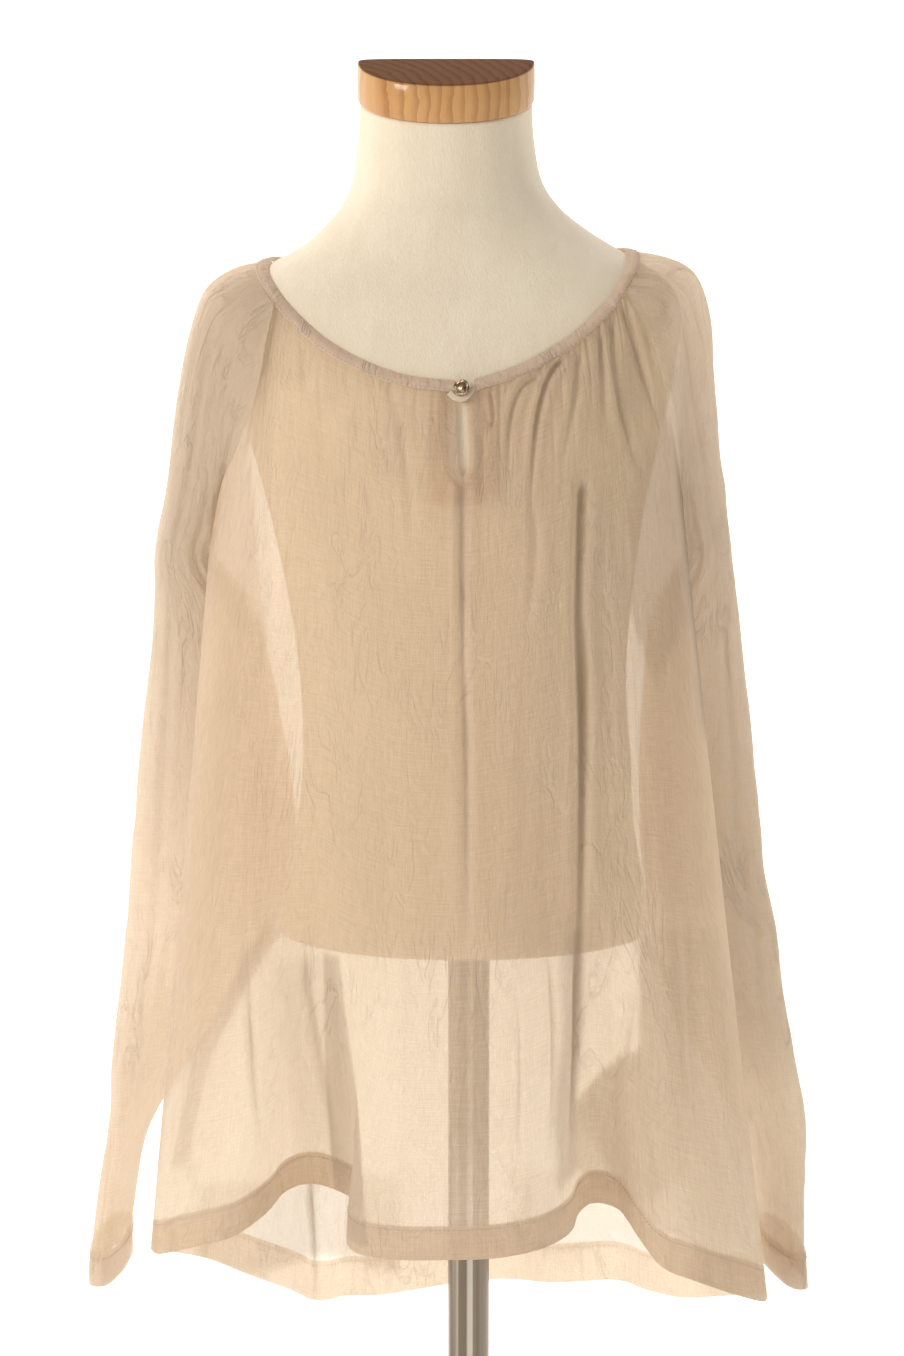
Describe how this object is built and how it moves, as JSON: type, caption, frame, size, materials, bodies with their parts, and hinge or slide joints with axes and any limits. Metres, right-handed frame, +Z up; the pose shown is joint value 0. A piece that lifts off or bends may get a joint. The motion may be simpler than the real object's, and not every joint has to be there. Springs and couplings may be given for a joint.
{
  "type": "wide long-sleeved blouse on a limbless display form with a stand",
  "caption": "Wide gathered blouse in thin see-through cotton, with a keyhole neck, raglan sleeves and a longer back, on a limbless display form with a steel stand.",
  "frame": {"origin": "on the floor, at the middle of the base's underside, on the pole's axis", "axes": "+Z up along the pole, -Y towards the front of the blouse, +X to the right as the front is looked at"},
  "size_m": [0.5069, 0.34, 1.5162],
  "materials": {
    "voile": "thin plain-woven cotton voile, beige, see-through against light",
    "binding": "the same voile folded to several layers and stitched",
    "jersey": "cream cotton jersey stretched over the form",
    "wood": "clear-varnished softwood with plain grain",
    "steel": "satin steel",
    "button_metal": "dark nickel-brown metal, slightly shiny"
  },
  "bodies": {
    "root": {"front": "voile", "back": "voile", "sleeve_left": "voile", "sleeve_right": "voile", "hem_front": "voile", "hem_back": "voile", "cuff_left": "voile", "cuff_right": "voile", "keyhole_facing": "voile", "neck_band": "binding", "button_loop": "binding", "button": "button_metal", "form_body": "jersey", "neck_cap": "wood", "pole": "steel", "collar": "steel", "base": "steel"}
  },
  "joints": []
}
